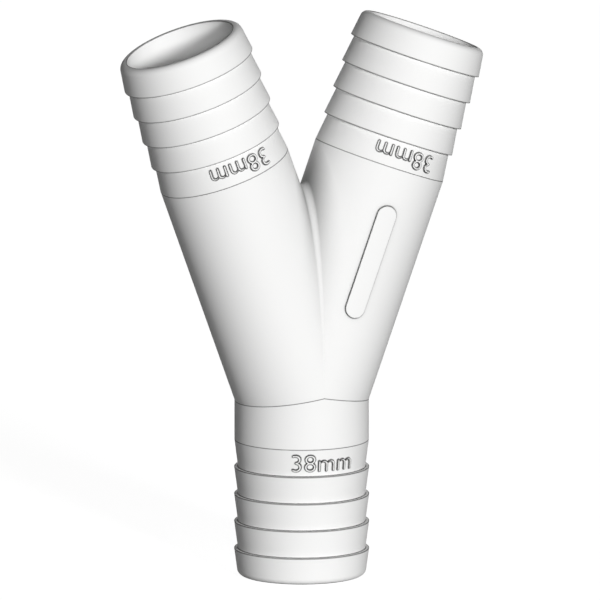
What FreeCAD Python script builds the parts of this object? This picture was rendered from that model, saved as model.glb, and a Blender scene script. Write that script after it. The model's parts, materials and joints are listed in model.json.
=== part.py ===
import FreeCAD, Part
import math
import os

# Tubing Y connector for hose of 38 mm bore, moulded in one piece: an upright stem and two branches
# that lean out in the XZ plane, each ending in the same barbed hose tail.
# Lengths are in millimetres and angles in degrees. The origin is the centre of the stem's end face,
# on which the part stands. +Z points up along the stem, and the front, with the raised pad, faces -Y.

# Pipe
BORE_D = 32.5            # water way through all three legs
WALL = 3.25              # wall of the plain pipe between the tails
BRANCH_LEAN = 20.0       # lean of each branch from the stem's axis
STEM_NECK = 15.0         # plain pipe from the point where the three axes meet to the stem's tail
CROTCH_TO_TAIL = 16.4    # plain pipe from the crotch to a branch's tail, room for the hose's mouth
CROTCH_ROUND = 1.6       # radius that blends the two branches where they part

# Hose tail, the same on all three legs
BAND_LENGTH = 8.0        # tapered band next to the plain pipe, where the hose size stands
BARB_COUNT = 4
BARB_PITCH = 8.0
BARB_DROP = 1.0          # depth of a ramp's low end below the plain pipe's surface
BARB_RISE = 0.1          # height of a barb's edge above the plain pipe's surface
END_RING = 0.5           # flat ring between the nose and the bore
NOSE_LENGTH = 1.75       # length of the nose, which two short tapers round off
NOSE_SHARE = 0.3         # share of the nose's depth that its first, slender taper takes

# Raised pad on the front of the right branch
PAD_WIDTH = 6.2
PAD_LENGTH = 34.8
PAD_TO_TAIL = 28.0       # from the pad's middle to the start of the branch's tail
PAD_RISE = 0.55          # height above the branch's surface

# Worked out from the sizes above
BORE_R = BORE_D / 2
PIPE_R = BORE_R + WALL
ROOT_R = PIPE_R - BARB_DROP
EDGE_R = PIPE_R + BARB_RISE
RAMP_SLOPE = (EDGE_R - ROOT_R) / BARB_PITCH
NOSE_R = ROOT_R + RAMP_SLOPE * NOSE_LENGTH
NOSE_DEPTH = NOSE_R - END_RING - BORE_R
TAIL_LENGTH = BAND_LENGTH + BARB_COUNT * BARB_PITCH
LEAN = math.radians(BRANCH_LEAN)
BRANCH_NECK = PIPE_R / math.tan(LEAN) + CROTCH_TO_TAIL
STEM_LENGTH = STEM_NECK + TAIL_LENGTH
BRANCH_LENGTH = BRANCH_NECK + TAIL_LENGTH
MEETING = FreeCAD.Vector(0, 0, STEM_LENGTH)
UP = FreeCAD.Vector(0, 0, 1)
ACROSS = FreeCAD.Vector(0, 1, 0)
RIGHT = 1
LEFT = -1
# a length greater than any of the part, for the zones that trim it
BEYOND = 2 * (STEM_LENGTH + BRANCH_LENGTH)


def leg_outline(neck):
    """Half section of a solid leg, with its axis along +Z from the meeting point at z = 0."""
    end = neck + TAIL_LENGTH
    points = [(0, 0), (PIPE_R, 0), (PIPE_R, neck), (ROOT_R, neck + BAND_LENGTH)]
    for barb in range(BARB_COUNT):
        low = neck + BAND_LENGTH + barb * BARB_PITCH
        points.append((EDGE_R, low))
        points.append((ROOT_R, low + BARB_PITCH))
    points[-1] = (NOSE_R, end - NOSE_LENGTH)
    points.append((NOSE_R - NOSE_SHARE * NOSE_DEPTH, end - NOSE_SHARE * NOSE_LENGTH))
    points.append((NOSE_R - NOSE_DEPTH, end))
    points.append((0, end))
    return [FreeCAD.Vector(r, 0, z) for r, z in points]


def solid_leg(neck):
    """A leg without its bore: plain pipe, tapered band, barbs and nose."""
    corners = leg_outline(neck)
    section = Part.Face(Part.makePolygon(corners + corners[:1]))
    return section.revolve(FreeCAD.Vector(0, 0, 0), UP, 360)


def zone(outline):
    """A block with the given outline in XZ, through the whole depth of the part."""
    corners = [FreeCAD.Vector(x, -BEYOND, z) for x, z in outline]
    wire = Part.makePolygon(corners + corners[:1])
    return Part.Face(wire).extrude(ACROSS * 2 * BEYOND)


def stem_zone():
    """The stem's share of the Y, below the two planes where it meets the branches."""
    side_drop = BEYOND * math.tan(LEAN / 2)
    right = (BEYOND, STEM_LENGTH - side_drop)
    left = (-BEYOND, STEM_LENGTH - side_drop)
    return zone([(0, STEM_LENGTH), right, (0, -BEYOND), left])


def branch_zone(side):
    """One branch's share of the Y, above the stem and on its own side of the middle plane."""
    side_drop = BEYOND * math.tan(LEAN / 2)
    low = (side * BEYOND, STEM_LENGTH - side_drop)
    return zone([(0, STEM_LENGTH), low, (side * BEYOND, BEYOND), (0, BEYOND)])


def lay_on_branch(shape, side):
    """Turn a shape from the upright at the meeting point onto a branch's axis, side 1 or -1."""
    laid = shape.copy()
    laid.translate(MEETING)
    laid.rotate(MEETING, ACROSS, side * BRANCH_LEAN)
    return laid


def joined_legs(stem_leg, branch_leg):
    """Three legs that start at the meeting point, mitred together into one Y."""
    stem = stem_leg.copy()
    stem.rotate(FreeCAD.Vector(0, 0, 0), ACROSS, 180)
    stem.translate(MEETING)
    right = lay_on_branch(branch_leg, RIGHT).common(branch_zone(RIGHT))
    left = lay_on_branch(branch_leg, LEFT).common(branch_zone(LEFT))
    return stem.common(stem_zone()).multiFuse([right, left]).removeSplitter()


def with_run_back(leg):
    """A leg lengthened behind the meeting point, so that the mitre planes cut all of it."""
    stub = Part.makeCylinder(PIPE_R, PIPE_R, FreeCAD.Vector(0, 0, 0), -UP)
    return leg.fuse(stub).removeSplitter()


def round_crotch(body):
    """Blend the crease between the branches, the only edges that lie in the plane x = 0."""
    flat = 1e-6
    crease = [e for e in body.Edges if max(abs(e.BoundBox.XMin), abs(e.BoundBox.XMax)) < flat]
    return body.makeFillet(CROTCH_ROUND, crease)


def raised_pad():
    """A round ended pad that follows the branch's curve, made upright and laid on the branch."""
    half = PAD_WIDTH / 2
    straight = PAD_LENGTH / 2 - half
    middle = BRANCH_NECK - PAD_TO_TAIL
    depth = -(PIPE_R - WALL / 2)
    low_left = FreeCAD.Vector(-half, depth, middle - straight)
    low_right = FreeCAD.Vector(half, depth, middle - straight)
    high_right = FreeCAD.Vector(half, depth, middle + straight)
    high_left = FreeCAD.Vector(-half, depth, middle + straight)
    top = FreeCAD.Vector(0, depth, middle + straight + half)
    bottom = FreeCAD.Vector(0, depth, middle - straight - half)
    edges = [
        Part.makeLine(low_right, high_right),
        Part.Arc(high_right, top, high_left).toShape(),
        Part.makeLine(high_left, low_left),
        Part.Arc(low_left, bottom, low_right).toShape(),
    ]
    block = Part.Face(Part.Wire(edges)).extrude(-ACROSS * PIPE_R)
    skin = Part.makeCylinder(PIPE_R + PAD_RISE, BRANCH_NECK, FreeCAD.Vector(0, 0, 0), UP)
    return lay_on_branch(block.common(skin), RIGHT)


def bore_leg(length):
    """The water way of one leg, run on past the leg's open end and back past the meeting point."""
    start = FreeCAD.Vector(0, 0, -BORE_R)
    return Part.makeCylinder(BORE_R, length + 2 * BORE_R, start, UP)


def y_connector():
    """The whole moulding: the outside with its crotch and pad, less the three bores."""
    outside = joined_legs(with_run_back(solid_leg(STEM_NECK)), with_run_back(solid_leg(BRANCH_NECK)))
    outside = round_crotch(outside)
    outside = outside.fuse(raised_pad())
    water_way = joined_legs(bore_leg(STEM_LENGTH), bore_leg(BRANCH_LENGTH))
    return outside.cut(water_way).removeSplitter()


os.makedirs("parts", exist_ok=True)
body = y_connector()
print("y_body valid", body.isValid(), "solids", len(body.Solids), "volume", round(body.Volume, 1))
box = body.BoundBox
print("box", round(box.XLength, 2), round(box.YLength, 2), round(box.ZLength, 2))
body.exportStep("parts/y_body.step")
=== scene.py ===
import json
import math

import bpy
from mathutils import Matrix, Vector


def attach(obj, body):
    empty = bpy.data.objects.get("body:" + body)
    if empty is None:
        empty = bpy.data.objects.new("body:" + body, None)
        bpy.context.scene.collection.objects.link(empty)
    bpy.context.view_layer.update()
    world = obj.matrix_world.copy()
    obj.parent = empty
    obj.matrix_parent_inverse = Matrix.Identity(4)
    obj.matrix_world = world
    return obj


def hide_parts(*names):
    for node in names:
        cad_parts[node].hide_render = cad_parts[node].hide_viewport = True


bl_info = {
    "name": "Tubing Y connector",
    "version": (1, 0, 0),
    "blender": (4, 5, 0),
    "location": "3D View > Sidebar > Y connector",
    "description": "Models the moulded Y connector, its pad, its size marks and its studio",
    "category": "Object",
}

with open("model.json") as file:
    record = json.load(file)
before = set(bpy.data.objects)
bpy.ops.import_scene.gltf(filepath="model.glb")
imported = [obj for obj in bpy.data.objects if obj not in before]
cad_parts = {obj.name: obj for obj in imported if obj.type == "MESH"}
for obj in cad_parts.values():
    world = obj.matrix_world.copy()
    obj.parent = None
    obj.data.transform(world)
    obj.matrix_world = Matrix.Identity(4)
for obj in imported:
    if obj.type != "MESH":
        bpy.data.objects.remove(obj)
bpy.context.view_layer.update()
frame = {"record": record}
BODY = "root"
MM = 0.001

# What the frame says of the three legs: the bores that meet in the middle, and where each one ends
MOUNTS = {mount["name"]: mount for mount in frame["record"]["mounts"]}
BORE_RADIUS = MOUNTS["stem_bore"]["dims"]["r_mm"] * MM
STEM_LENGTH = MOUNTS["stem_bore"]["dims"]["length_mm"] * MM
MEETING = Vector((0, 0, STEM_LENGTH))
BRANCH_AXIS = Vector(MOUNTS["right_bore"]["axis"]).normalized()
LEAN = math.atan2(BRANCH_AXIS.x, BRANCH_AXIS.z)

FRONT = Vector((0, -1, 0))
UP = Vector((0, 0, 1))
TURN = 2 * math.pi
# Vertices closer than this, in metres, are one
SAME = 1e-6
# Edges with a turn above this stay sharp in the shading
SHARP = math.radians(40)

# Facets over a nose's round, a rounded edge, the crotch's blend and one curve of a letter
NOSE_FACETS = 10
EDGE_FACETS = 3
BLEND_FACETS = 12
LETTER_FACETS = 6
# Facets over the pad's two round ends: even, so that the halves match, but no multiple of four,
# which would leave a vertex half way up the circle
PAD_FACETS = 62
# Strips into which the flat pad and marks are cut before they are laid round a pipe
PAD_STRIP = 0.3 * MM
MARK_STRIP = 0.4 * MM
# Height of the built-in digits before they are brought to size
DIGIT_UNITS = 0.73

# Small and large patches of the slow drift in tone: how many on a metre, and the small ones' share
SMALL_PATCHES = 45.0
LARGE_PATCHES = 14.0
SMALL_SHARE = 0.35
# How far the roughness varies with the small patches and with the grain
PATCH_ROUGHNESS = 0.07
GRAIN_ROUGHNESS = 0.05
# The painted shade in a ledge's corner counts as starting this far before the ledge
LEDGE_MARGIN = 1 * MM

FLOOR_SIZE = 40
# Grey of the floor under the lamps, and the glow that brings it up to white for the camera
FLOOR_GREY = 0.3
FLOOR_GLOW = 0.94


class YConnectorSizes(bpy.types.PropertyGroup):
    """Sizes of the moulding."""

    wall: bpy.props.FloatProperty(
        name="Wall", description="Wall of the plain pipe between the tails",
        default=3.25 * MM, unit="LENGTH")
    stem_neck: bpy.props.FloatProperty(
        name="Stem neck", description="Plain pipe from the meeting point to the stem's tail",
        default=15.0 * MM, unit="LENGTH")
    crotch_to_tail: bpy.props.FloatProperty(
        name="Crotch to tail", description="Plain pipe from the crotch to a branch's tail",
        default=16.4 * MM, unit="LENGTH")
    crotch_round: bpy.props.FloatProperty(
        name="Crotch round", description="Radius of the ball that blends the two branches",
        default=1.6 * MM, unit="LENGTH")
    band_length: bpy.props.FloatProperty(
        name="Band", description="Tapered band that carries the size mark",
        default=8.0 * MM, unit="LENGTH")
    barb_count: bpy.props.IntProperty(
        name="Barbs", description="Barbs on each tail", default=4, min=1)
    barb_pitch: bpy.props.FloatProperty(
        name="Barb pitch", description="Length of one barb along the tail",
        default=8.0 * MM, unit="LENGTH")
    barb_drop: bpy.props.FloatProperty(
        name="Barb drop", description="Depth of a ramp's low end below the plain pipe",
        default=1.0 * MM, unit="LENGTH")
    barb_rise: bpy.props.FloatProperty(
        name="Barb rise", description="Height of a barb's edge above the plain pipe",
        default=0.1 * MM, unit="LENGTH")
    end_ring: bpy.props.FloatProperty(
        name="End ring", description="Flat ring between the nose and the bore",
        default=0.5 * MM, unit="LENGTH")
    edge_round: bpy.props.FloatProperty(
        name="Edge round", description="Rounding of the moulded edges",
        default=0.1 * MM, unit="LENGTH")
    steps: bpy.props.IntProperty(
        name="Steps", description="Facets round a pipe, a multiple of four", default=192, min=16)


class YConnectorMarks(bpy.types.PropertyGroup):
    """The raised pad and the raised size marks."""

    pad_width: bpy.props.FloatProperty(
        name="Pad width", description="Width of the blank pad",
        default=5.9 * MM, unit="LENGTH")
    pad_length: bpy.props.FloatProperty(
        name="Pad length", description="Length of the blank pad over its round ends",
        default=34.1 * MM, unit="LENGTH")
    pad_to_tail: bpy.props.FloatProperty(
        name="Pad to tail", description="From the pad's middle to the branch's tail",
        default=28.0 * MM, unit="LENGTH")
    pad_rise: bpy.props.FloatProperty(
        name="Pad rise", description="Height of the pad above the branch",
        default=0.55 * MM, unit="LENGTH")
    pad_round: bpy.props.FloatProperty(
        name="Pad round", description="Rounding of the pad's upper edge",
        default=0.15 * MM, unit="LENGTH")
    text: bpy.props.StringProperty(
        name="Size mark", description="Hose bore that each tail is marked with", default="38mm")
    digit_height: bpy.props.FloatProperty(
        name="Digit height", description="Height of the mark's digits",
        default=5.0 * MM, unit="LENGTH")
    mark_width: bpy.props.FloatProperty(
        name="Mark width", description="Width of the mark, measured round the pipe",
        default=18.6 * MM, unit="LENGTH")
    mark_rise: bpy.props.FloatProperty(
        name="Mark rise", description="Height of the mark above its band",
        default=0.45 * MM, unit="LENGTH")
    thinning: bpy.props.FloatProperty(
        name="Thinning", description="How far the strokes are drawn in on each side",
        default=0.07 * MM, unit="LENGTH")
    sunk: bpy.props.FloatProperty(
        name="Sunk", description="Depth to which pad and marks run into the wall",
        default=0.4 * MM, unit="LENGTH")


class YConnectorFinishAndShade(bpy.types.PropertyGroup):
    """Finish of the moulded plastic, and the painted shade and dark lines laid on its colour."""

    colour: bpy.props.FloatVectorProperty(
        name="Colour", description="Colour of the plastic",
        default=(0.88, 0.88, 0.875), subtype="COLOR", size=3, min=0, max=1)
    roughness: bpy.props.FloatProperty(
        name="Roughness", description="Roughness of the satin surface",
        default=0.5, subtype="FACTOR")
    drift: bpy.props.FloatProperty(
        name="Drift", description="Darkest tone of the slow drift, as a share of the colour",
        default=0.965, subtype="FACTOR")
    grain: bpy.props.FloatProperty(
        name="Grain", description="Width of one grain of the mould's fine texture",
        default=0.35 * MM, unit="LENGTH")
    grain_depth: bpy.props.FloatProperty(
        name="Grain depth", description="Depth of the mould's fine texture",
        default=0.006 * MM, unit="LENGTH")
    # painted shade: how far the corners of the ledges, pad and marks are painted darker
    stem_shade_reach: bpy.props.FloatProperty(
        name="Stem reach",
        description="How far the dark tone goes in the corners of the stem's ledges",
        default=0.32 * MM, unit="LENGTH")
    branch_shade_reach: bpy.props.FloatProperty(
        name="Branch reach",
        description="How far the dark tone goes in the corners of the branches' ledges",
        default=0.12 * MM, unit="LENGTH")
    mark_shade_reach: bpy.props.FloatProperty(
        name="Mark reach",
        description="How far the dark tone goes in the corners round the pad and the marks",
        default=0.42 * MM, unit="LENGTH")
    # painted shade: how far the dark line along the raised pieces' upper edges reaches
    rim_shade_reach: bpy.props.FloatProperty(
        name="Rim reach", description="How far the line goes along the raised pieces' upper edges",
        default=0.2 * MM, unit="LENGTH")
    # tone of the painted shade in corners, along the raised edges and where the branches part
    painted_shade_tone: bpy.props.FloatProperty(
        name="Corner tone", description="Tone right in a corner, as a share of the colour",
        default=0.05, subtype="FACTOR")
    # painted shade: how far the darkening reaches between the parting branches
    hollow_shade_reach: bpy.props.FloatProperty(
        name="Hollow reach", description="How far the branches shade each other where they part",
        default=10.0 * MM, unit="LENGTH")
    # dark lines at mitres and band starts, and painted shade lines at the ledges' and bores' edges
    line_width: bpy.props.FloatProperty(
        name="Line width", description="Width of the fine lines at mitres, bands, ledges and bores",
        default=0.4 * MM, unit="LENGTH")
    line_and_shade_tone: bpy.props.FloatProperty(
        name="Line tone", description="Tone of these lines, as a share of the colour",
        default=0.05, subtype="FACTOR")
    gloss: bpy.props.FloatProperty(
        name="Gloss", description="Level of the satin surface's reflection",
        default=0.015, subtype="FACTOR")


class YConnectorStudio(bpy.types.PropertyGroup):
    """Camera, lamps and floor."""

    azimuth: bpy.props.FloatProperty(
        name="Azimuth", description="Camera's turn from the front, to the right",
        default=math.radians(-19.7), subtype="ANGLE")
    elevation: bpy.props.FloatProperty(
        name="Elevation", description="Camera's height above the horizon",
        default=math.radians(10.2), subtype="ANGLE")
    target: bpy.props.FloatVectorProperty(
        name="Target", description="Point in the middle of the picture",
        default=(-0.4 * MM, 0.3 * MM, 80.8 * MM), subtype="XYZ", size=3)
    picture_width: bpy.props.FloatProperty(
        name="Picture width", description="Width of what the camera sees, in parallel projection",
        default=174.06 * MM, unit="LENGTH")
    camera_distance: bpy.props.FloatProperty(
        name="Camera distance", description="From the camera to its target",
        default=1.0, unit="LENGTH")
    key_azimuth: bpy.props.FloatProperty(
        name="Key azimuth", description="Key lamp's turn from the front",
        default=math.radians(3.2), subtype="ANGLE")
    key_elevation: bpy.props.FloatProperty(
        name="Key elevation", description="Key lamp's height above the horizon",
        default=math.radians(12.0), subtype="ANGLE")
    key_softness: bpy.props.FloatProperty(
        name="Key softness", description="Angle over which the key and fill lamps spread",
        default=math.radians(8.0), subtype="ANGLE")
    key_level: bpy.props.FloatProperty(
        name="Key level", description="Light on a surface that faces the key lamp, 1 for plain",
        default=0.76)
    fill_level: bpy.props.FloatProperty(
        name="Fill level", description="Light on a surface that faces the lamp beside the camera",
        default=0.32)
    back_level: bpy.props.FloatProperty(
        name="Back level", description="Light on a surface that faces the lamp behind",
        default=0.9)
    back_elevation: bpy.props.FloatProperty(
        name="Back elevation", description="Height above the horizon of the lamp behind",
        default=math.radians(2.0), subtype="ANGLE")
    back_softness: bpy.props.FloatProperty(
        name="Back softness", description="Angle over which the lamp behind spreads",
        default=math.radians(3.0), subtype="ANGLE")
    ambient: bpy.props.FloatProperty(
        name="Ambient", description="Even light from all round",
        default=0.015)


PROPERTY_GROUPS = {
    "y_sizes": YConnectorSizes,
    "y_marks": YConnectorMarks,
    "y_finish": YConnectorFinishAndShade,
    "y_studio": YConnectorStudio,
}


class Leg:
    """One leg of the Y, with its axis from the meeting point to its open end."""

    def __init__(self, name, axis, neck):
        self.name = name
        self.axis = axis
        self.neck = neck

    def place(self, radius, along, angle=0.0):
        """The point at that distance from the axis and along it, turned by angle from the front."""
        beside = FRONT.cross(self.axis)
        out = FRONT * math.cos(angle) + beside * math.sin(angle)
        return MEETING + self.axis * along + out * radius


def pipe_radius(sizes):
    """Outer radius of the plain pipe."""
    return BORE_RADIUS + sizes.wall


def mid_wall(sizes):
    """Radius half way through the wall: the outer faces lie outside it and the bore inside."""
    return BORE_RADIUS + sizes.wall / 2


def legs(sizes):
    """The stem and the two branches, as the frame's mounts place them."""
    pipe = pipe_radius(sizes)
    branch_neck = pipe / math.tan(LEAN) + sizes.crotch_to_tail
    left_axis = Vector((-BRANCH_AXIS.x, 0, BRANCH_AXIS.z))
    return {
        "stem": Leg("stem", -UP, sizes.stem_neck),
        "right": Leg("right", BRANCH_AXIS, branch_neck),
        "left": Leg("left", left_axis, branch_neck),
    }


def deselect_everything():
    """Leave edit mode and clear the selection, in which the frame's nodes start."""
    if bpy.context.mode != "OBJECT":
        bpy.ops.object.mode_set(mode="OBJECT")
    bpy.ops.object.select_all(action="DESELECT")


def edit(piece):
    """Go into edit mode on one piece alone."""
    deselect_everything()
    bpy.context.view_layer.objects.active = piece
    piece.select_set(True)
    bpy.ops.object.mode_set(mode="EDIT")


def select_where(piece, kind, test):
    """In edit mode, select the piece's vertices, edges or faces that pass a test of their points."""
    bpy.ops.mesh.select_all(action="DESELECT")
    bpy.ops.mesh.select_mode(type=kind)
    bpy.ops.object.mode_set(mode="OBJECT")
    mesh = piece.data
    if kind == "VERT":
        for vertex in mesh.vertices:
            vertex.select = test([vertex.co])
    else:
        for element in mesh.edges if kind == "EDGE" else mesh.polygons:
            element.select = test([mesh.vertices[i].co for i in element.vertices])
    bpy.ops.object.mode_set(mode="EDIT")


def new_line(name, points):
    """A new piece in edit mode: one open line through the points, extruded from its first one."""
    deselect_everything()
    bpy.ops.mesh.primitive_circle_add(vertices=3, radius=MM, fill_type="NOTHING")
    piece = bpy.context.object
    piece.name = name
    edit(piece)
    bpy.ops.mesh.select_mode(type="VERT")
    bpy.ops.mesh.select_all(action="SELECT")
    bpy.ops.mesh.merge(type="CENTER")
    bpy.ops.transform.translate(value=points[0])
    for here, there in zip(points, points[1:]):
        bpy.ops.mesh.extrude_vertices_move(TRANSFORM_OT_translate={"value": there - here})
    return piece


def round_corners(piece, corners, radius, segments):
    """Round a line's corners, each picked by its place."""
    near = 10 * SAME
    select_where(piece, "VERT", lambda p: any((p[0] - c).length < near for c in corners))
    bpy.ops.mesh.bevel(
        offset_type="OFFSET", offset=radius, segments=segments, profile=0.5, affect="VERTICES")


def tail_corners(sizes, neck):
    """Radius and distance along the axis of each corner of a leg, from its neck to its end."""
    pipe = pipe_radius(sizes)
    root = pipe - sizes.barb_drop
    edge = pipe + sizes.barb_rise
    first = neck + sizes.band_length
    end = first + sizes.barb_count * sizes.barb_pitch
    corners = [(pipe, neck)]
    for barb in range(sizes.barb_count):
        ledge = first + barb * sizes.barb_pitch
        corners += [(root, ledge), (edge, ledge)]
    return corners, (root, end), (BORE_RADIUS, end)


def spun_leg(sizes, leg):
    """The leg's double wall, a line from inside the bore round the nose to the plain pipe, spun."""
    pipe = pipe_radius(sizes)
    corners, nose, mouth = tail_corners(sizes, leg.neck)
    # past the meeting point, so that the mitre planes cut all round the leg
    run_back = -2 * pipe
    line = [(BORE_RADIUS, run_back), mouth, nose, *reversed(corners), (pipe, run_back)]
    piece = new_line("leg_" + leg.name, [leg.place(*point) for point in line])
    nose_round = nose[0] - BORE_RADIUS - sizes.end_ring
    round_corners(piece, [leg.place(*nose)], nose_round, NOSE_FACETS)
    sharp = [leg.place(*point) for point in [mouth, *corners]]
    round_corners(piece, sharp, sizes.edge_round, EDGE_FACETS)
    bpy.ops.mesh.select_all(action="SELECT")
    bpy.ops.mesh.spin(steps=sizes.steps, angle=TURN, center=MEETING, axis=leg.axis)
    bpy.ops.mesh.select_all(action="SELECT")
    bpy.ops.mesh.remove_doubles(threshold=SAME)
    return piece


def trim(plane_normal):
    """Cut what is selected at a plane through the meeting point, and keep the side it faces."""
    bpy.ops.mesh.bisect(
        plane_co=MEETING, plane_no=plane_normal, clear_inner=True, threshold=SAME / 10)


def mitre_normal(leg):
    """Normal of the plane where a branch meets the stem, which faces the branch."""
    return (leg.axis + UP).normalized()


def pipe_share(sizes):
    """The plain pipe's radius, as a share of the distance from its axis to the blend's ball."""
    pipe = pipe_radius(sizes)
    return pipe / (pipe + sizes.crotch_round)


def ball_height(sizes):
    """Height at which the blend's ball touches the branches, as a share of its own height."""
    return math.cos(LEAN) ** 2 + math.sin(LEAN) ** 2 * pipe_share(sizes)


def contact_slope(sizes):
    """How far from the middle plane the blend touches a branch, for each unit of height."""
    return math.sin(LEAN) * math.cos(LEAN) * (1 - pipe_share(sizes)) / ball_height(sizes)


def mitred_legs(sizes):
    """The three legs, cut back to where they meet, as one mesh that is still open at the crotch."""
    middle_of_wall = mid_wall(sizes)
    pieces = []
    for leg in legs(sizes).values():
        piece = spun_leg(sizes, leg)
        if leg.name == "stem":
            for other in legs(sizes).values():
                if other.name != "stem":
                    bpy.ops.mesh.select_all(action="SELECT")
                    trim(-mitre_normal(other))
        else:
            bpy.ops.mesh.select_all(action="SELECT")
            trim(mitre_normal(leg))
            side = math.copysign(1, leg.axis.x)

            def outside(points, leg=leg):
                middle = sum(points, Vector()) / len(points) - MEETING
                return (middle - leg.axis * middle.dot(leg.axis)).length > middle_of_wall

            select_where(piece, "FACE", outside)
            trim(Vector((side, 0, -contact_slope(sizes))).normalized())
            select_where(piece, "FACE", lambda points: not outside(points))
            trim(Vector((side, 0, 0)))
        pieces.append(piece)
    deselect_everything()
    for piece in pieces:
        piece.select_set(True)
    bpy.context.view_layer.objects.active = pieces[0]
    bpy.ops.object.join()
    return pieces[0]


def blend_crotch(sizes, shell):
    """Bridge the gap between the branches, and roll the bridge onto the ball that touches both."""
    pipe = pipe_radius(sizes)
    radius = sizes.crotch_round
    slope = contact_slope(sizes)
    middle_of_wall = mid_wall(sizes)

    def on_contact(points):
        """Both ends lie on the planes that the ball touches, and on the outer wall."""
        for p in points:
            height = p.z - MEETING.z
            lean = math.hypot(p.y, height * math.sin(LEAN))
            if abs(abs(p.x) - slope * height) > SAME or lean < middle_of_wall:
                return False
        return True

    edit(shell)
    select_where(shell, "EDGE", on_contact)
    before = len(shell.data.vertices)
    bpy.ops.mesh.bridge_edge_loops(number_cuts=BLEND_FACETS - 1, interpolation="LINEAR")
    bpy.ops.object.mode_set(mode="OBJECT")
    for vertex in list(shell.data.vertices)[before:]:
        height = vertex.co.z - MEETING.z
        centre = MEETING + Vector((
            0,
            vertex.co.y * (pipe + radius) / pipe,
            height / ball_height(sizes),
        ))
        vertex.co = centre + (vertex.co - centre).normalized() * radius


def crease_edges(sizes):
    """A test for the edges where two legs meet at an angle, outside and in the bores."""
    normals = [mitre_normal(leg) for leg in legs(sizes).values() if leg.name != "stem"]
    middle_of_wall = mid_wall(sizes)

    def test(points):
        from_meeting = [p - MEETING for p in points]
        on_mitre = any(all(abs(n.dot(p)) < SAME for p in from_meeting) for n in normals)
        in_bore = all(
            abs(p.x) < SAME and math.hypot(p.y, p.z * math.sin(LEAN)) < middle_of_wall
            for p in from_meeting)
        return on_mitre or in_bore

    return test


def finish_mesh(piece):
    """Merge doubles, face all outwards, mark the sharp edges and shade the rest smooth."""
    edit(piece)
    bpy.ops.mesh.select_all(action="SELECT")
    bpy.ops.mesh.remove_doubles(threshold=SAME)
    bpy.ops.mesh.normals_make_consistent(inside=False)
    bpy.ops.mesh.select_all(action="DESELECT")
    bpy.ops.mesh.select_mode(type="EDGE")
    bpy.ops.mesh.edges_select_sharp(sharpness=SHARP)
    bpy.ops.mesh.mark_sharp()
    deselect_everything()
    piece.select_set(True)
    bpy.context.view_layer.objects.active = piece
    bpy.ops.object.shade_smooth()
    bpy.ops.object.modifier_add(type="WEIGHTED_NORMAL")
    piece.modifiers[-1].keep_sharp = True
    bpy.ops.object.modifier_apply(modifier=piece.modifiers[-1].name)


def dress(piece, raised=False):
    """Give a finished piece its body and the moulded plastic."""
    piece.data.materials.clear()
    piece.data.materials.append(moulded_plastic(raised))
    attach(piece, BODY)


class YCONNECTOR_OT_shell(bpy.types.Operator):
    """Model the moulded shell: three barbed legs, mitred together, with the blended crotch"""

    bl_idname = "y_connector.shell"
    bl_label = "Moulded shell"

    def execute(self, context):
        sizes = context.scene.y_sizes
        shell = mitred_legs(sizes)
        shell.name = "y_shell"
        blend_crotch(sizes, shell)
        edit(shell)
        bpy.ops.mesh.select_all(action="SELECT")
        bpy.ops.mesh.remove_doubles(threshold=SAME)
        select_where(shell, "EDGE", crease_edges(sizes))
        bpy.ops.mesh.mark_sharp()
        finish_mesh(shell)
        dress(shell)
        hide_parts("y_body")
        return {"FINISHED"}


def slice_across(piece, width, step):
    """Cut a flat piece into narrow strips, so that it can follow the pipe's curve."""
    edit(piece)
    cuts = math.ceil(width / step)
    for cut in range(1, cuts):
        bpy.ops.mesh.select_all(action="SELECT")
        place = Vector((-width / 2 + cut * width / cuts, 0, 0))
        bpy.ops.mesh.bisect(plane_co=place, plane_no=(1, 0, 0), threshold=SAME / 10)


def lay_on_leg(piece, leg, centre, radius_at):
    """Wrap a flat piece on a leg: its X runs round the pipe, its Y towards the body, its Z out."""
    deselect_everything()
    for vertex in piece.data.vertices:
        across, up, out = vertex.co
        along = centre - up
        angle = across / radius_at(centre)
        vertex.co = leg.place(radius_at(along) + out, along, angle)


class YCONNECTOR_OT_pad(bpy.types.Operator):
    """Model the raised pad on the right branch, which is left blank"""

    bl_idname = "y_connector.pad"
    bl_label = "Blank pad"

    def execute(self, context):
        sizes = context.scene.y_sizes
        marks = context.scene.y_marks
        pipe = pipe_radius(sizes)
        leg = legs(sizes)["right"]
        deselect_everything()
        bpy.ops.mesh.primitive_circle_add(
            vertices=PAD_FACETS, radius=marks.pad_width / 2, fill_type="NGON")
        pad = bpy.context.object
        pad.name = "blank_pad"
        straight = (marks.pad_length - marks.pad_width) / 2
        edit(pad)
        for side in (1, -1):
            select_where(pad, "VERT", lambda p: p[0].y * side > 0)
            bpy.ops.transform.translate(value=(0, side * straight, 0))
        bpy.ops.mesh.select_all(action="SELECT")
        bpy.ops.transform.translate(value=(0, 0, -marks.sunk))
        height = marks.pad_rise + marks.sunk
        bpy.ops.mesh.extrude_region_move(TRANSFORM_OT_translate={"value": (0, 0, height)})
        select_where(pad, "EDGE", lambda p: all(v.z > marks.pad_rise - SAME for v in p))
        bpy.ops.mesh.bevel(offset=marks.pad_round, segments=EDGE_FACETS, affect="EDGES")
        slice_across(pad, marks.pad_width, PAD_STRIP)
        lay_on_leg(pad, leg, leg.neck - marks.pad_to_tail, lambda along: pipe)
        finish_mesh(pad)
        dress(pad, raised=True)
        return {"FINISHED"}


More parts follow.
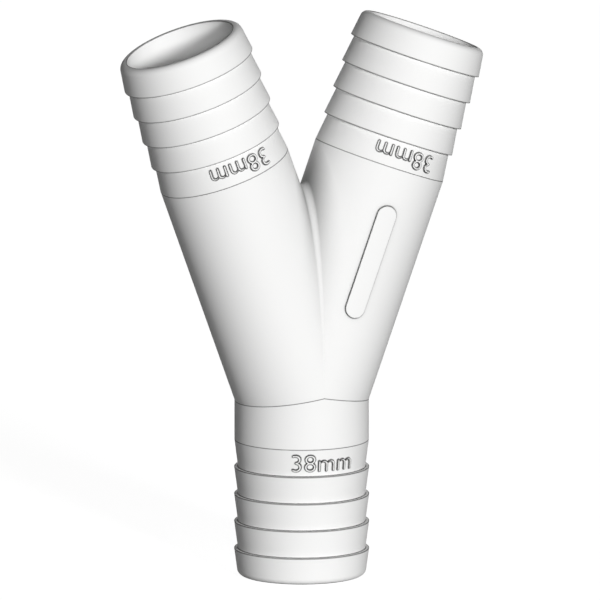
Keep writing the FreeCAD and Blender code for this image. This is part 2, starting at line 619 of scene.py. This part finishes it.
def flat_mark(marks, name):
    """The size mark as raised letters, flat about the origin, with Z out of the surface."""
    deselect_everything()
    bpy.ops.object.text_add()
    text = bpy.context.object
    text.name = name
    text.data.body = marks.text
    text.data.align_x = "CENTER"
    text.data.align_y = "CENTER"
    text.data.resolution_u = LETTER_FACETS
    text.data.offset = -DIGIT_UNITS * marks.thinning / marks.digit_height
    bpy.ops.object.convert(target="MESH")
    mark = bpy.context.object
    low = Vector(mark.bound_box[0])
    high = Vector(mark.bound_box[6])
    edit(mark)
    bpy.ops.mesh.select_all(action="SELECT")
    bpy.ops.transform.translate(value=-(low + high) / 2)
    scale = (marks.mark_width / (high.x - low.x), marks.digit_height / (high.y - low.y), 1)
    bpy.ops.transform.resize(value=scale, center_override=(0, 0, 0))
    bpy.ops.transform.translate(value=(0, 0, -marks.sunk))
    rise = marks.mark_rise + marks.sunk
    bpy.ops.mesh.extrude_region_move(TRANSFORM_OT_translate={"value": (0, 0, rise)})
    return mark


class YCONNECTOR_OT_size_marks(bpy.types.Operator):
    """Model the raised size mark on the front of each tail's band"""

    bl_idname = "y_connector.size_marks"
    bl_label = "Size marks"

    def execute(self, context):
        sizes = context.scene.y_sizes
        marks = context.scene.y_marks
        pipe = pipe_radius(sizes)
        for leg in legs(sizes).values():

            def band_radius(along, leg=leg):
                return pipe - sizes.barb_drop * (along - leg.neck) / sizes.band_length

            mark = flat_mark(marks, "size_mark_" + leg.name)
            slice_across(mark, marks.mark_width, MARK_STRIP)
            lay_on_leg(mark, leg, leg.neck + sizes.band_length / 2, band_radius)
            finish_mesh(mark)
            dress(mark, raised=True)
        return {"FINISHED"}


class Value:
    """A node's output, on which Python's operators add Math nodes."""

    def __init__(self, shader, output):
        self.shader = shader
        self.output = output

    def __add__(self, other):
        return self.shader.maths("ADD", self, other)

    __radd__ = __add__

    def __mul__(self, other):
        return self.shader.maths("MULTIPLY", self, other)

    __rmul__ = __mul__

    def __sub__(self, other):
        return self.shader.maths("SUBTRACT", self, other)

    def __rsub__(self, other):
        return self.shader.maths("SUBTRACT", other, self)


class Shader:
    """An emptied node tree, with one method that adds any node and two for the usual kinds."""

    def __init__(self, owner):
        owner.use_nodes = True
        self.tree = owner.node_tree
        self.tree.nodes.clear()

    def node(self, kind, settings=None, inputs=None, output=0):
        """Add a node, give it its settings and then its sockets, and hand back one output."""
        made = self.tree.nodes.new("ShaderNode" + kind)
        for name, value in (settings or {}).items():
            setattr(made, name, value)
        for name, value in (inputs or {}).items():
            if isinstance(value, Value):
                self.tree.links.new(value.output, made.inputs[name])
            else:
                made.inputs[name].default_value = value
        return Value(self, made.outputs[output]) if len(made.outputs) else None

    def maths(self, operation, first, second=0):
        """A Math node on one value, or on two values or numbers."""
        return self.node("Math", {"operation": operation}, {0: first, 1: second})

    def mix(self, share, first, second):
        """A Mix node on two colours, all of the first one at 0 and of the second one at 1."""
        return self.node("Mix", {"data_type": "RGBA"}, {0: share, 6: first, 7: second}, output=2)


class Spot:
    """Where a point lies on the moulding, as values that a shader works out from its place."""

    def __init__(self, shader, place):
        sizes = bpy.context.scene.y_sizes
        necks = {leg.name: leg.neck for leg in legs(sizes).values()}
        point = shader.node("SeparateXYZ", inputs={0: place}).output.node
        aside = shader.maths("ABSOLUTE", Value(shader, point.outputs["X"]))
        deep = Value(shader, point.outputs["Y"])
        height = Value(shader, point.outputs["Z"]) - MEETING.z
        along_branch = math.sin(LEAN) * aside + math.cos(LEAN) * height
        off_branch = math.cos(LEAN) * aside - math.sin(LEAN) * height
        # 1 on a branch and 0 on the stem
        self.on_branch = shader.maths("GREATER_THAN", height, 0)
        # distance above the planes where the branches meet the stem
        self.above_mitre = math.sin(LEAN / 2) * aside + math.cos(LEAN / 2) * height
        # distance past the start of the tail, towards its open end
        self.on_tail = shader.maths(
            "MAXIMUM", along_branch - necks["right"], -1 * height - necks["stem"])
        # distance from the leg's axis
        off_axis = self.on_branch * off_branch + (1 - self.on_branch) * aside
        self.radius = shader.maths("SQRT", off_axis * off_axis + deep * deep)
        # 1 on the outer face of the wall and 0 in the bore
        self.outside = shader.maths("GREATER_THAN", self.radius, mid_wall(sizes))


def from_circles(shader, spot, places, circle):
    """Distance to the nearest of the circles of that radius, at those places along the tail."""
    away = shader.maths("ABSOLUTE", spot.on_tail - places[0])
    for place in places[1:]:
        away = shader.maths("MINIMUM", away, shader.maths("ABSOLUTE", spot.on_tail - place))
    aside = spot.radius - circle
    return shader.maths("SQRT", aside * aside + away * away)


def lines_and_edge_shade(shader, spot):
    """1 on the dark lines: at the mitres and band starts, and the painted shade lines at the ledges
    and the edges of the bores.
    """
    sizes = bpy.context.scene.y_sizes
    sharpness = 2 / bpy.context.scene.y_finish.line_width
    pipe = pipe_radius(sizes)
    ledges = [sizes.band_length + barb * sizes.barb_pitch for barb in range(sizes.barb_count)]
    end = ledges[-1] + sizes.barb_pitch
    from_mitre = shader.maths("ABSOLUTE", spot.above_mitre)
    from_band = shader.maths("ABSOLUTE", spot.on_tail)
    from_ledge = from_circles(shader, spot, ledges, pipe + sizes.barb_rise)
    from_mouth = from_circles(shader, spot, [end], BORE_RADIUS)
    seam = spot.outside * (1 - sharpness * shader.maths("MINIMUM", from_mitre, from_band))
    # the painted shade line at an edge shows one side at a time, so that line is twice as wide
    edge = 1 - sharpness / 2 * shader.maths("MINIMUM", from_ledge, from_mouth)
    return shader.maths("MAXIMUM", shader.maths("MAXIMUM", seam, edge), 0)


def open_share(shader, reach, inside=False):
    """Share of the directions, out of the plastic or into it, in which no face is within reach."""
    return shader.node(
        "AmbientOcclusion", {"samples": 8, "inside": inside}, {"Distance": reach}, output=1)


def clear_share(shader, share):
    """An open share stretched, so that 1 stays 1 and two thirds or less is 0."""
    return shader.maths("MAXIMUM", 3 * share - 2, 0)


def corner_shade(shader, spot):
    """Mask of the painted shade in corners: 1 away from every corner, and less the deeper a point
    lies in one.
    """
    finish_and_shade = bpy.context.scene.y_finish
    first_ledge = bpy.context.scene.y_sizes.band_length - LEDGE_MARGIN
    off_ledges = shader.maths("LESS_THAN", spot.on_tail, first_ledge)
    at_ledge = spot.on_branch * finish_and_shade.branch_shade_reach + (1 - spot.on_branch) * finish_and_shade.stem_shade_reach
    reach = off_ledges * finish_and_shade.mark_shade_reach + (1 - off_ledges) * at_ledge
    return clear_share(shader, open_share(shader, reach))


def rim_shade(shader):
    """Mask of the painted shade along the raised pieces' upper edges: 1 away from the edges that
    stand out, and less the closer a point lies to one.
    """
    reach = bpy.context.scene.y_finish.rim_shade_reach
    return clear_share(shader, open_share(shader, reach, inside=True))


def hollow_shade(shader, spot):
    """Strength of the painted shade where the branches part: the share of the sky that the plain
    pipes hide from each other there.
    """
    on_pipe = shader.maths("LESS_THAN", spot.on_tail, 0)
    reach = bpy.context.scene.y_finish.hollow_shade_reach
    return spot.outside * on_pipe * (1 - open_share(shader, reach))


def toned(colour, share=1):
    """A colour at a share of its brightness, in the form that a node's socket takes."""
    return (*(part * share for part in colour), 1)


def moulded_plastic(raised):
    """White plastic from a finely textured mould, for the shell or for a piece raised on it, with
    painted shade in its corners, along raised edges and where the branches part, and dark painted
    lines at mitres, bands, ledges and bores.
    """
    name = "raised_white_plastic" if raised else "moulded_white_plastic"
    if name in bpy.data.materials:
        return bpy.data.materials[name]
    finish_and_shade = bpy.context.scene.y_finish
    material = bpy.data.materials.new(name)
    shader = Shader(material)
    place = shader.node("TexCoord", output="Object")
    spot = Spot(shader, place)
    grain = shader.node(
        "TexNoise", inputs={"Vector": place, "Scale": 1 / finish_and_shade.grain, "Detail": 2.0})
    small = shader.node(
        "TexNoise", inputs={"Vector": place, "Scale": SMALL_PATCHES, "Detail": 3.0})
    large = shader.node(
        "TexNoise", inputs={"Vector": place, "Scale": LARGE_PATCHES, "Detail": 1.0})

    patches = SMALL_SHARE * small + (1 - SMALL_SHARE) * large
    # colour of the painted shade in corners, along the raised edges and where the branches part
    corner = toned(finish_and_shade.colour, finish_and_shade.painted_shade_tone)
    colour = shader.mix(patches, toned(finish_and_shade.colour, finish_and_shade.drift), toned(finish_and_shade.colour))
    # painted shade in the corners of the ledges, pad and marks
    colour = shader.mix(corner_shade(shader, spot), corner, colour)
    if raised:
        # painted shade along the upper edges of the raised pieces
        colour = shader.mix(rim_shade(shader), corner, colour)
    # painted shade in the hollow where the branches part
    colour = shader.mix(hollow_shade(shader, spot), colour, corner)
    # dark lines at mitres and band starts, and painted shade lines at the ledges' and bores' edges
    colour = shader.mix(lines_and_edge_shade(shader, spot), colour, toned(finish_and_shade.colour, finish_and_shade.line_and_shade_tone))

    roughness = (
        finish_and_shade.roughness + PATCH_ROUGHNESS * (small - 0.5) + GRAIN_ROUGHNESS * (grain - 0.5))
    bump = shader.node(
        "Bump", inputs={"Strength": 1.0, "Distance": finish_and_shade.grain_depth, "Height": grain})
    surface = shader.node("BsdfPrincipled", inputs={
        "Base Color": colour,
        "Roughness": roughness,
        "Normal": bump,
        "IOR": 1.49,
        "Specular IOR Level": finish_and_shade.gloss,
    })
    shader.node("OutputMaterial", inputs={"Surface": surface})
    return material


def seen_directly(shader):
    """1 for the rays by which the camera sees a background, straight, mirrored or through glass."""
    rays = shader.node("LightPath").output.node
    seen = Value(shader, rays.outputs["Is Camera Ray"])
    seen = shader.maths("MAXIMUM", seen, Value(shader, rays.outputs["Is Glossy Ray"]))
    return shader.maths("MAXIMUM", seen, Value(shader, rays.outputs["Is Transmission Ray"]))


def floor_material():
    """Pale floor: white to the camera, with the soft shadow that falls on it."""
    material = bpy.data.materials.new("pale_floor")
    shader = Shader(material)
    seen = seen_directly(shader)
    matt = shader.node("BsdfDiffuse", inputs={"Color": (FLOOR_GREY, FLOOR_GREY, FLOOR_GREY, 1)})
    glow = shader.node(
        "Emission", inputs={"Color": (1, 1, 1, 1), "Strength": FLOOR_GLOW * seen})
    surface = shader.node("AddShader", inputs={0: matt, 1: glow})
    shader.node("OutputMaterial", inputs={"Surface": surface})
    return material


def white_world(ambient):
    """White to the camera, and an even grey light on everything else."""
    world = bpy.data.worlds.new("white_world")
    bpy.context.scene.world = world
    shader = Shader(world)
    seen = seen_directly(shader)
    white = shader.node("Background", inputs={"Color": (1, 1, 1, 1), "Strength": 1.0})
    grey = shader.node("Background", inputs={"Color": (1, 1, 1, 1), "Strength": ambient})
    mixed = shader.node("MixShader", inputs={0: seen, 1: grey, 2: white})
    shader.node("OutputWorld", inputs={"Surface": mixed})


def direction(azimuth, elevation):
    """Unit vector from the object towards a camera or lamp there."""
    level = math.cos(elevation)
    return Vector((
        math.sin(azimuth) * level,
        -math.cos(azimuth) * level,
        math.sin(elevation),
    ))


def sun(name, azimuth, elevation, level, softness):
    """A sun lamp that lights a white surface facing it to that level."""
    lamp = bpy.data.lights.new(name, "SUN")
    lamp.energy = math.pi * level
    lamp.angle = softness
    placed = bpy.data.objects.new(name, lamp)
    bpy.context.scene.collection.objects.link(placed)
    towards = direction(azimuth, elevation)
    placed.location = towards
    placed.rotation_euler = towards.to_track_quat("Z", "Y").to_euler()
    return placed


def add_lamps(studio):
    """The key lamp, the fill lamp beside the camera, and the lamp behind."""
    sun("key_lamp", studio.key_azimuth, studio.key_elevation, studio.key_level,
        studio.key_softness)
    sun("fill_lamp", studio.azimuth, studio.elevation, studio.fill_level, studio.key_softness)
    back_lamp = sun(
        "back_lamp", studio.azimuth + math.pi, studio.back_elevation, studio.back_level,
        studio.back_softness)
    # without this it glares on every upper edge that lies between the lamp and the camera
    back_lamp.visible_glossy = False


def add_camera(studio):
    """The camera at the picture's angle, in parallel projection."""
    camera = bpy.data.cameras.new("picture_camera")
    camera.type = "ORTHO"
    camera.ortho_scale = studio.picture_width
    placed = bpy.data.objects.new("picture_camera", camera)
    bpy.context.scene.collection.objects.link(placed)
    back = direction(studio.azimuth, studio.elevation)
    placed.location = Vector(studio.target) + back * studio.camera_distance
    placed.rotation_euler = back.to_track_quat("Z", "Y").to_euler()
    bpy.context.scene.camera = placed


class YCONNECTOR_OT_studio(bpy.types.Operator):
    """Set up the pale floor, the soft lamps and the camera at the picture's angle"""

    bl_idname = "y_connector.studio"
    bl_label = "Studio"

    def execute(self, context):
        studio = context.scene.y_studio
        deselect_everything()
        bpy.ops.mesh.primitive_plane_add(size=FLOOR_SIZE)
        floor = bpy.context.object
        floor.name = "floor"
        floor.data.materials.append(floor_material())
        white_world(studio.ambient)
        add_lamps(studio)
        add_camera(studio)
        context.scene.view_settings.view_transform = "Standard"
        return {"FINISHED"}


class YCONNECTOR_PT_panel(bpy.types.Panel):
    """Lists the connector's pieces and its studio"""

    bl_idname = "YCONNECTOR_PT_panel"
    bl_label = "Tubing Y connector"
    bl_space_type = "VIEW_3D"
    bl_region_type = "UI"
    bl_category = "Y connector"

    def draw(self, context):
        for name in PROPERTY_GROUPS:
            group = getattr(context.scene, name)
            column = self.layout.box().column()
            for key in group.__annotations__:
                column.prop(group, key)
        for operator in OPERATORS:
            self.layout.operator(operator.bl_idname)


OPERATORS = (
    YCONNECTOR_OT_shell,
    YCONNECTOR_OT_pad,
    YCONNECTOR_OT_size_marks,
    YCONNECTOR_OT_studio,
)
CLASSES = (*PROPERTY_GROUPS.values(), *OPERATORS, YCONNECTOR_PT_panel)


def register():
    for cls in CLASSES:
        bpy.utils.register_class(cls)
    for name, group in PROPERTY_GROUPS.items():
        setattr(bpy.types.Scene, name, bpy.props.PointerProperty(type=group))


def unregister():
    for name in PROPERTY_GROUPS:
        delattr(bpy.types.Scene, name)
    for cls in reversed(CLASSES):
        bpy.utils.unregister_class(cls)


def main():
    register()
    bpy.ops.y_connector.shell()
    bpy.ops.y_connector.pad()
    bpy.ops.y_connector.size_marks()
    bpy.ops.y_connector.studio()


if __name__ == "__main__":
    main()
